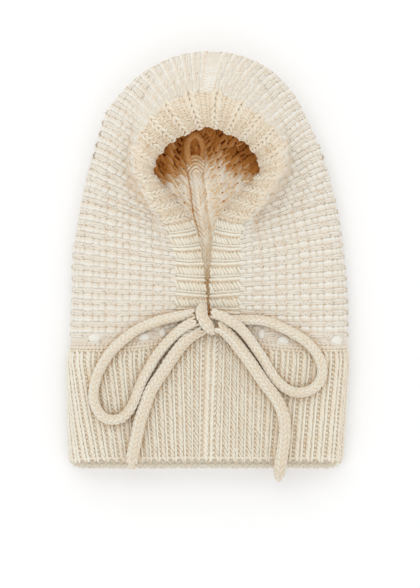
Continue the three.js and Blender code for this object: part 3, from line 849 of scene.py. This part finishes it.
# The columns of stitches of a rib: the place across it, half the length, half the width as a share of the
# rib's, the thickness, the lean, how deep they sit, the tone, and the step down as a share of a row. The
# ones that stand across the rib are its purls.
COLUMNS = [(0.33, 0.0040, 0.155, 0.0013, 27, 0.0011, 0.93, 0.0),
           (0.75, 0.0036, 0.135, 0.0012, -4, 0.0011, 1.0, 0.3),
           (0.0, 0.0014, 0.15, 0.0011, 90, 0.0017, 0.85, 0.5)]
FRONT_COLUMN = (0.575, 0.0013, 0.11, 0.0009, 90, 0.0018, 0.8, 0.2)
THROAT_COLUMN = (0.92, 0.0026, 0.075, 0.0011, -27, 0.0012, 0.9, 0.5)
collar_front, collar_beads, collar_shade_specks, collar_back = (Stitches() for _ in range(4))
for rib in range(len(valleys) - 1):
    front = rib < len(VALLEYS) + 2 or rib == len(valleys) - 2
    rows = np.arange(1 if front else 0, collar_rows)
    share = (rows + 0.5) / collar_rows
    width = (rib_place(rib, 1.0, share) - rib_place(rib, 0.0, share))[:, None]
    columns = COLUMNS + [FRONT_COLUMN] * front + [THROAT_COLUMN] * (rib == THROAT_RIB)
    for across, half_long, half_wide, thick, lean, depth, tone, step in columns:
        group = collar_back if not front else collar_front if half_long > 0.002 else collar_beads
        here = np.clip((rows + 0.5 + 0.45 * step) / collar_rows, 0.01, 0.985)
        spots, out = on_collar(rib_place(rib, across, here), here)
        ahead, _ = on_collar(rib_place(rib, across, here + 0.01), here + 0.01)
        down = unit(ahead - spots)
        over = unit(np.cross(out, down))
        if over[0, 0] < 0:
            over = -over
        group.add(spots - out * depth + dice.normal(0, 0.00012, (len(rows), 3)), out,
                  tilted(down, over, lean), (half_long, half_wide, thick),
                  tone + 0.12 * (dice.random(len(rows)) - 0.5), wider=width)
    if front:
        # in each rib's valley, between the rows, sits a dark speck of painted shade
        here = (rows + 0.2) / collar_rows
        spots, out = on_collar(rib_place(rib, 0.0, here), here)
        collar_shade_specks.add(spots - out * 0.0011 + dice.normal(0, 0.00012, (len(rows), 3)), out,
                          (1, 0, 0), (0.0008, 0.0006, 0.0006), 0.15 + 0.3 * dice.random(len(rows)))

# The first two rows below the border lie across the ribs.
places = np.arange(0, ring_length, 0.0035)
for share in (0.003, 0.026):
    spots, out, round_it = ring_at(places, share)
    collar_beads.add(spots - out * 0.0012, out, round_it, (0.0021, 0.0015, 0.0013),
                     0.76 + 0.12 * dice.random(len(places)))

# The hem is bound off. Below the front hem the inner side of the back layer shows.
spots, out, round_it = ring_at(np.arange(0, ring_length, 0.0046), 0.985)
collar_front.add(spots - out * 0.0018, out, tilted(round_it, np.array([[0, -1.0, 0]]), 12),
                 (0.0029, 0.0013, 0.0015), 0.8 + 0.1 * dice.random(len(spots)))
# the inner stitches of the back layer are toned pale, painted light in the shade of the front hem
for share in np.arange(0.87, 0.985, 0.036):
    for step, lean in ((0.0, 35), (0.0026, -35)):
        spots, out, _ = ring_at(np.arange(0.0, ring_length, 0.0066) + step, share)
        under = out[:, 2] < -0.8
        spots, out = spots[under], -out[under]
        collar_back.add(spots + (0, 0, 0.0032), out, tilted(np.array([0, -1, 0]), np.array([1, 0, 0]), lean),
                        (0.0027, 0.0012, 0.0012), 1.15 + 0.2 * dice.random(len(spots)))

thin = np.linspace(0, AROUND - 1, 181)[:-1].astype(int)
outer, inner = ((collar[thin] - collar_out[thin] * depth)[:, ::2] for depth in (0.0018, 0.0038))
# the cloth under the ribs is toned darker than them, partly the beige of the yarn and partly painted shade in
# the gaps
collar_cloth = shell("collar_cloth", outer, inner, 0.55, rib_wool, around=True)
collar_area = area_of(collar[thin], around=True)
collar_pieces = [collar_front.knit("collar_front_ribs", rib_wool, Sides=7, Rings=5, Seed=21, Squareness=0.9),
                 collar_beads.knit("collar_front_purls", rib_wool, Sides=6, Rings=4, Seed=23),
                 collar_shade_specks.knit("collar_front_specks", rib_wool, Sides=5, Rings=3, Seed=24),
                 collar_back.knit("collar_back_ribs", rib_wool, Sides=6, Rings=4, Seed=22, Squareness=0.9)]
for piece in [collar_cloth] + collar_pieces:
    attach(piece, "root")
    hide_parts("neck_collar")

# The face band is a wide rib in the same plied wool, folded double round the face opening and closed at
# the throat. It rolls inwards over its lip, and the drawstring runs inside it.
# Each row of the table is x, lean, y and z of the lip, in millimetres, and how much the band bulges.
LIP = [[1.4, 0.9, -62, 32, 2.5], [1.6, 0.3, -33.3, 33, 2.5], [3.6, -0.9, -0.7, 36, 3],
       [10.8, -2.7, 37.5, 43, 3.5], [28.3, -3, 60.5, 50, 4], [46.4, -1.3, 79.3, 59, 4],
       [44.5, -0.8, 90, 66, 4.5], [31.9, 0, 104.6, 73, 5], [18.1, -0.4, 111, 80, 5], [8, 0, 115.1, 84, 5],
       [0, 0.1, 116.5, 86, 5]]
lip_rows = [(row, -1) for row in LIP] + [(row, 1) for row in LIP[-2::-1]]
lips = smooth_curve([(hand * row[0] + row[1], row[2], row[3]) for row, hand in lip_rows],
                    np.linspace(0, 1, LINES))
rolls = np.interp(table_line, TABLE, [row[4] for row, _ in lip_rows])
fronts = strip[:, 0] * 1000
insides = fronts - strip_out[:, 0] * 5
# at the throat both ends of the band run straight up
along_front = np.gradient(fronts, axis=0)
along_front[:10] = (0, 1, 0)
along_front[-10:] = (0, -1, 0)
lift = np.cross(lips - fronts, along_front)
lift = unit(lift * np.sign(lift[:, 2:3]))
away = unit((lips - fronts) * (1, 1, 0))
cover = np.interp(table_line, TABLE, cover_at)
cover_cols = np.array([np.interp([reach, 0.5 * reach], run, np.arange(ACROSS))
                       for reach, run in zip(cover, run_over)])
lines = np.arange(LINES, dtype=float)
# the band stands 1.6 mm proud of the strip, and less where it hardly covers it
proud = np.minimum(1.6, 300 * cover)[:, None]
outer_edge, half_way = (1000 * between(strip, lines, cols) + proud * between(strip_out, lines, cols)
                        for cols in cover_cols.T)
begin = fronts + away + strip_out[:, 0] * proud


def band_at(share, rise):
    """One line along the band, a share of the way to its lip and raised off the straight way there."""
    return begin + (lips - begin) * share + lift * rise[:, None]


flat = np.ones(LINES)
sections = np.stack([outer_edge, (half_way + begin) / 2, begin, band_at(0.2, 0.7 * rolls),
                     band_at(0.45, rolls), band_at(0.7, 0.85 * rolls), band_at(0.9, 0.4 * rolls), lips,
                     band_at(0.98, -3.6 * flat), band_at(0.85, -6.8 * flat), band_at(0.5, -7 * flat),
                     insides + away], 1)
OVER, BAND_MIDDLE, FOLDED_UNDER = 73, 36, 57
band = np.array([smooth_curve(section, np.linspace(0, 1, OVER)) for section in sections]) * 0.001
band_out = facing_of(band, 60, 20)
band_run = run_along(band)
middle_run = run_along(band[:, BAND_MIDDLE])
band_length = middle_run[-1]
BAND_RIB = 0.0147
ribs = int(round(band_length / BAND_RIB))


def on_band(place, away):
    """Place, outward, across and along directions at distances along the band and in from its outer edge, and
    how far the stitches are stretched there."""
    row = np.interp(place, middle_run, np.arange(LINES))
    line = np.clip(row.astype(int), 0, LINES - 1)
    col = np.array([np.interp(a, band_run[i], np.arange(OVER)) for a, i in zip(away, line)])
    spots, out = between(band, row, col), unit(between(band_out, row, col))
    across = unit(between(band, row, col + 0.5) - between(band, row, col - 0.5))
    along = unit(np.cross(out, across))
    tip, middle_tip = (between(band, row + 1, at) - between(band, row - 1, at)
                       for at in (col, np.full(len(col), float(BAND_MIDDLE))))
    along = along * np.sign(np.sum(along * tip, axis=1, keepdims=True))
    stretch = np.linalg.norm(tip, axis=1) / np.linalg.norm(middle_tip, axis=1)
    return spots, out, across, along, np.clip(stretch, 0.7, 1.5)


# The columns of stitches of a rib of the band, round the rim and down the sides: the place across it, half
# the length and width, the thickness, the lean, the pitch, the tone, the first step and the depth.
# the rim's columns are toned lower than the sides', painted shade on the top of the brim, which the panel
# lights most
RIM_COLUMNS = [(0.24, 0.0038, 0.00155, 0.0015, 25, 0.0053, 0.78, 0.0, 0.0010),
               (0.47, 0.0038, 0.00155, 0.0015, -25, 0.0053, 0.78, 0.0, 0.0010),
               (0.65, 0.0019, 0.00125, 0.0011, 62, 0.0027, 0.72, 0.5, 0.0018),
               (0.85, 0.0021, 0.0013, 0.0012, 104, 0.0027, 0.76, 0.0, 0.0016),
               (0.05, 0.0019, 0.00125, 0.0011, 118, 0.0027, 0.72, 0.3, 0.0018)]
SIDE_COLUMNS = [(0.265, 0.0044, 0.00168, 0.0013, 60, 0.0033, 0.92, 0.0, 0.0011),
                (0.585, 0.0028, 0.0011, 0.0011, 4, 0.0033, 0.95, 0.5, 0.0013),
                (0.69, 0.0012, 0.0010, 0.0009, 80, 0.0033, 0.6, 0.0, 0.0019),
                (0.81, 0.0030, 0.0017, 0.0012, -3, 0.0033, 0.97, 0.2, 0.0011),
                (0.965, 0.0015, 0.0012, 0.0009, 80, 0.0044, 0.6, 0.5, 0.0017)]
# The columns of dark specks of painted shade: the place across the rib, the pitch, and the share that is
# kept.
# Down the sides only the first column keeps any.
RIM_SHADE_SPECKS = ((0.355, 0.0053, 1.0), (0.57, 0.0054, 0.55), (0.75, 0.0054, 0.7), (0.95, 0.0054, 0.7))
SIDE_SHADE_SPECKS = ((0.0, 0.0044, 1.0),) + ((0.0, 0.0044, 0.0),) * 3
band_stitches, band_specks = Stitches(), Stitches()
for rib in range(ribs):
    line = int(np.interp((rib + 0.5) / ribs * band_length, middle_run, np.arange(LINES)))
    width = band_run[line, FOLDED_UNDER]
    left, rim = rib < ribs / 2, fronts[line, 1] > 30

    def along_band(across_rib):
        """The distance along the band of a place across this rib."""
        share = 1 - across_rib if left and not rim else across_rib
        return (rib + share) / ribs * band_length

    for across_rib, pitch, kept in RIM_SHADE_SPECKS if rim else SIDE_SHADE_SPECKS:
        away_from = np.arange(0.003, width - 0.001, pitch)
        away_from = away_from[dice.random(len(away_from)) < kept]
        count = len(away_from)
        if not count:
            continue
        spots, out, across, _, _ = on_band(np.full(count, along_band(across_rib)), away_from)
        shift = dice.normal(0, 0.0003, (count, 3)) * (1, 1, 0.3)
        band_specks.add(spots - out * 0.0009 + shift, out, across, (0.0009, 0.0008, 0.0007),
                        0.35 * dice.random(count))
    columns = RIM_COLUMNS if rim else SIDE_COLUMNS
    for across_rib, half_long, half_wide, thick, lean, pitch, tone, step, depth in columns:
        away_from = np.arange(0.0008 + step * pitch, width - 0.001, pitch)
        count = len(away_from)
        spots, out, across, along, stretch = on_band(np.full(count, along_band(across_rib)), away_from)
        hand = 1 if left else -1
        direction = tilted(across, along, -lean) if rim else tilted(across * hand, -along * hand, lean)
        size = np.array([[half_long, half_wide, thick]]) * (stretch ** (0.8 * rim))[:, None]
        band_stitches.add(spots - out * depth + dice.normal(0, 0.00013, (count, 3)), out, direction, size,
                          tone + 0.12 * (dice.random(count) - 0.5))
# the cloth under the ribs is toned darker than them, partly the beige of the yarn and partly painted shade in
# the gaps
outer, inner = ((band - band_out * depth)[::4, ::3] for depth in (0.0016, 0.0032))
band_cloth = shell("band_cloth", outer, inner, 0.62, rib_wool)
band_area = area_of(band[::4, ::3])
band_ribs = band_stitches.knit("band_ribs", rib_wool, Sides=6, Rings=5, Seed=31, Squareness=0.9)
band_shade_dots = band_specks.knit("band_specks", rib_wool, Sides=5, Rings=3, Seed=32)
for piece in (band_cloth, band_ribs, band_shade_dots):
    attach(piece, "root")
    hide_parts("face_band")

# Inside, the purl side of the back shows through the face opening: columns of fat cream lumps and of beige
# strands beside the centre back seam. The wool is pale low down, and deep and warm in the brim's shade, all
# of it painted shade in its colours, with a painted glow that lifts it.
inside_wool = wool("inside_wool", ((0.06, linear(104, 50, 12)), (0.36, linear(202, 140, 74)),
                                   (0.62, linear(225, 194, 152)), (0.9, linear(248, 241, 227))), 0.5,
                   painted_glow=((0.06, (0.016, 0.003, 0.0)), (0.36, (0.085, 0.036, 0.006)),
                         (0.62, (0.095, 0.076, 0.04)), (0.9, (0.18, 0.19, 0.175))), sheen=0.04)


def painted_shade_paleness(spots):
    """How pale the wool inside is painted: cream low down, and painted shade deeper from an arch below the
    crown upwards, though less so where it climbs the brim."""
    arch = 0.0785 - 0.5 * np.abs(spots[..., 0] - 0.004)
    rise = np.clip((spots[..., 1] - arch) / 0.034, 0, 1)
    over_the_brim = np.clip((spots[..., 2] - 0.028) / 0.03, 0, 1)
    return 1 - (0.9 - 0.6 * over_the_brim) * rise * rise * (3 - 2 * rise)


lumps, thin_lumps = Stitches(), Stitches()
COLUMN = 0.0163
WHITE_FROM_SEAM = {"left": 0.0185, "right": 0.0090}
# Half the length, width and thickness of each kind of lump, how far from the middle it shows, the steps to
# either side, the lean and the tone.
LUMPS = {"white": ((0.0054, 0.0049, 0.0027), 0.105, (0.0,), 20, 1.0),
         "beige": ((0.0044, 0.0026, 0.0021), 0.060, (-0.0022, 0.0022), 8, 0.86),
         "thin": ((0.0036, 0.0019, 0.0017), 0.060, (0.0,), 70, 0.9)}
for side, start, run in knitted_rows():
    for kind, offset in (("white", 0.0), ("beige", 0.5), ("thin", 0.27), ("thin", 0.73)):
        shape, far, steps, lean, tone = LUMPS[kind]
        away = run[-1] - np.arange(WHITE_FROM_SEAM[side] + (offset - 2) * COLUMN, 0.08, COLUMN)
        away = away[(away < run[-1] - 0.001) & (away > run[TURNED if kind == "beige" else INSIDE])]
        if not len(away):
            continue
        for step in steps:
            spots, out, along, over, gap = on_row(start, away)
            spots = spots - out * 0.0050 + over * step
            seen = (np.abs(spots[:, 0]) < far) & (spots[:, 1] > -0.068)
            seen &= (out[:, 2] < -0.3) | (spots[:, 2] > 0.035)
            if not seen.any():
                continue
            spots, out, along, over = spots[seen], out[seen], along[seen], over[seen]
            gap = np.clip(gap[seen], 0.5, 1)[:, None]
            number = len(spots)
            size = np.array(shape) * (0.92 + 0.2 * dice.random((number, 1)))
            turn = np.radians(lean * (np.sign(step) or 1) + dice.normal(0, 9, (number, 1)))
            # the lumps take the painted shade of the inside, with random tones deep in it
            tones = tone + 0.2 * dice.random(number)
            pale = painted_shade_paleness(spots)
            group = lumps if kind == "white" else thin_lumps
            group.add(spots + dice.normal(0, 0.0004, (number, 3)) * (1, 1, 0.5), -out,
                      along * np.cos(turn) + over * np.sin(turn), size,
                      tones * pale + 0.3 * (1 - pale) * dice.random(number), wider=gap)
            # beside each white lump sits a dark dot of painted shade
            if kind == "white":
                thin_lumps.add(spots + over * 0.0050 * gap + along * 0.0030 - out * 0.0012, -out, along,
                               (0.0009, 0.0009, 0.0008), 0.2 * pale)
inside = lumps.knit("inside_stitches", inside_wool, Sides=8, Rings=6, Seed=41, Squareness=0.8, Wobble=0.1)
inside_thin = thin_lumps.knit("inside_thin", inside_wool, Sides=6, Rings=5, Seed=42, Squareness=0.85,
                              Wobble=0.1)
lines_seen, lines_out = strip[::4, 16::3], strip_out[::4, 16::3]
# the lining between the lumps is toned by painted shade, deep under the brim and paler towards the neck
pale_neck = np.clip((-0.022 - lines_seen[..., 1]) / 0.03, 0, 1)
lining = shell("lining", lines_seen - lines_out * 0.0049, lines_seen - lines_out * 0.0051,
               0.66 * painted_shade_paleness(lines_seen) - 0.12 + 0.3 * pale_neck, inside_wool)
inside = join("inside_lumps", [inside, inside_thin, lining])
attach(inside, "root")
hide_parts("hood_body")

# The centre back seam stands up inside as a thick ridge, with one large loop of roving at its top end, a knob
# of nested strands below it, and then a braid down to the neck.
SEAM = [(-11, 112), (-11.5, 92), (-10.5, 78), (-8.5, 64), (-7, 48), (-4, 34), (-2.5, 24), (-2, 8), (-2, -4),
        (-1, -20), (-0.5, -44), (-0.5, -74)]
SEAM_STEPS = 181
seam_line = smooth_curve([(x * 0.001, y * 0.001, 0.0088) for x, y in SEAM], np.linspace(0, 1, 240))
seam_length = run_along(seam_line)[-1]
seam_line = even_steps(seam_line, SEAM_STEPS)
seam_way, seam_side, _ = frame_along(seam_line)
seam_half = np.interp(np.linspace(0, seam_length, SEAM_STEPS), [0, 0.03, 0.04, 0.068, 0.085, 0.115, 0.19],
                      [0.0034, 0.0058, 0.0056, 0.0054, 0.0047, 0.0036, 0.0030])
seam_rings = rings_round(seam_line, seam_side, np.tile(UP, (SEAM_STEPS, 1)), seam_half[:, None], 0.0034, 14)
seam_core = tube("seam_core", seam_rings[20::2], 0.6, inside_wool)
braid = Stitches()
run = np.arange(0.035, seam_length - 0.004, 0.0048)
number = len(run)
i = (run / seam_length * (SEAM_STEPS - 1)).astype(int)
spots, way, side, half = seam_line[i], seam_way[i], seam_side[i], seam_half[i][:, None]
# the braid is toned darker towards the neck, painted shade
painted_neck_shade = 0.40 * np.clip(-spots[:, 1] / 0.016, 0, 1)
for hand in (-1, 1):
    if hand > 0:
        # on the right a darker strand lies in the groove beside the braid, painted shade
        groove = spots + side * 1.25 * half - (0, 0, 0.0010)
        braid.add(groove, UP, way, (0.0036, 0.0008, 0.0012), 0.6 * painted_shade_paleness(groove) - 0.1)
    # each half of the braid has a strand on top and one on its flank
    for share, rise, tip, long, wide, pale in ((0.34, 0.0030, 0.25, 0.0043, 0.0019, 0.92),
                                               (0.92, 0.0004, 0.8, 0.0040, 0.0017, 0.8)):
        braid.add(spots + side * hand * share * half + (0, 0, rise), unit(UP + tip * hand * side),
                  tilted(way, -side * hand, 28), (long, wide, 0.0017),
                  (pale + 0.22 * dice.random(number)) * painted_shade_paleness(spots) ** 0.5 - painted_neck_shade,
                  wider=half / 0.0052)
# the strands of the knob: how far down the seam, and half as wide
for reach, half in ((0.0205, 0.0070), (0.0238, 0.0072), (0.0268, 0.0066), (0.0296, 0.0052), (0.0322, 0.0034)):
    i = int(reach / seam_length * (SEAM_STEPS - 1))
    for turn in np.linspace(-1, 1, 7):
        bow = (1 - turn * turn) * 0.0045
        spot = seam_line[i] + seam_side[i] * turn * half - seam_way[i] * bow
        rise = 0.0034 - 0.0030 * turn * turn
        braid.add((spot + UP * rise)[None], unit(UP + turn * 0.7 * seam_side[i]),
                  unit(seam_side[i] + seam_way[i] * turn * 1.1), (0.0021, 0.0015, 0.0016),
                  (0.78 + 0.2 * dice.random(1)) * painted_shade_paleness(spot) ** 0.4)
seam_braid = braid.knit("seam_braid", inside_wool, Sides=8, Rings=6, Seed=43, Squareness=0.9)
LOOP_STEPS = 60
LOOP = [(-15, 88, 8.8), (-18.2, 95, 11.2), (-19.2, 103, 12.2), (-17.6, 111, 12.4), (-11.8, 115.8, 12.2),
        (-6.6, 111, 11.4), (-5.2, 103, 10.4), (-6, 95.5, 9.4), (-8.5, 89.5, 8.5)]
loop_path = smooth_curve(0.001 * np.array(LOOP), np.linspace(0, 1, LOOP_STEPS))
_, loop_side, loop_up = frame_along(loop_path)
steps = np.arange(LOOP_STEPS)[:, None]
loop_thick = np.interp(steps, [0, 8, 30, 45, 59], [0.0026, 0.0031, 0.0029, 0.0020, 0.0020])
# three soft ridges wind round the loop, as in roving
corners = np.linspace(0, 2 * math.pi, 16, endpoint=False)
loop_thick = loop_thick * (1 + 0.08 * np.cos(3 * corners - steps * 0.5))
loop_rings = rings_round(loop_path, loop_side, loop_up, loop_thick, loop_thick, len(corners))
# the loop is toned deep orange-brown, painted shade under the brim
seam_loop = tube("seam_loop", loop_rings, 0.3, inside_wool, threads=500)
seam = join("back_seam_ridge", [seam_core, seam_braid, seam_loop])
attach(seam, "root")
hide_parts("back_seam")

# The knot is the drawstring itself, wound once round the bow from above the slit and down over its front. It
# is drawn tight, so its stitches are shorter, and its ends are tucked in below the bow.
wrap = [(-5, -41, 40.5), (-5.6, -45, 46.2), (-5.2, -50, 50.2),
        (-2.8, -54.5, 51.5), (0.6, -58.8, 50.8), (3.6, -63, 47)]
knot = knitted_cord("bow_knot_wrap", wrap, 0.0108, pitch=0.0042)[0]
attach(knot, "root")
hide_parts("bow_knot")

# The table is a plain sheet of white paper, wide enough to fill the picture. It isn't part of the hood and
# only catches its shade.
floor = bpy.data.meshes.new("floor")
floor.from_pydata([(-3, -3, 0), (3, -3, 0), (3, 3, 0), (-3, 3, 0)], [], [(0, 1, 2, 3)])
table = placed("floor", floor)
paper = bpy.data.materials.new("white_paper")
paper.use_nodes = True
paper.node_tree.nodes["Principled BSDF"].inputs["Base Color"].default_value = (0.95, 0.95, 0.95, 1)
paper.node_tree.nodes["Principled BSDF"].inputs["Roughness"].default_value = 0.8
floor.materials.append(paper)

# Soft studio light comes from all round, and more of it from a large panel above the crown. The panel
# stands to the left of the camera and faces the middle of the hood.
world = bpy.data.worlds.new("studio")
scene.world = world
world.use_nodes = True
world.node_tree.nodes["Background"].inputs["Color"].default_value = (1, 1, 1, 1)
world.node_tree.nodes["Background"].inputs["Strength"].default_value = 1.0
lamp = bpy.data.lights.new("panel", "AREA")
lamp.energy, lamp.size, lamp.size_y, lamp.shape = 3.4, 1.2, 1.2, "RECTANGLE"
panel = placed("panel", lamp)
panel.location = (-0.3, 0.7, 1.4)
panel.rotation_euler = (-0.45, -0.2, 0)
scene.view_settings.view_transform = "Standard"
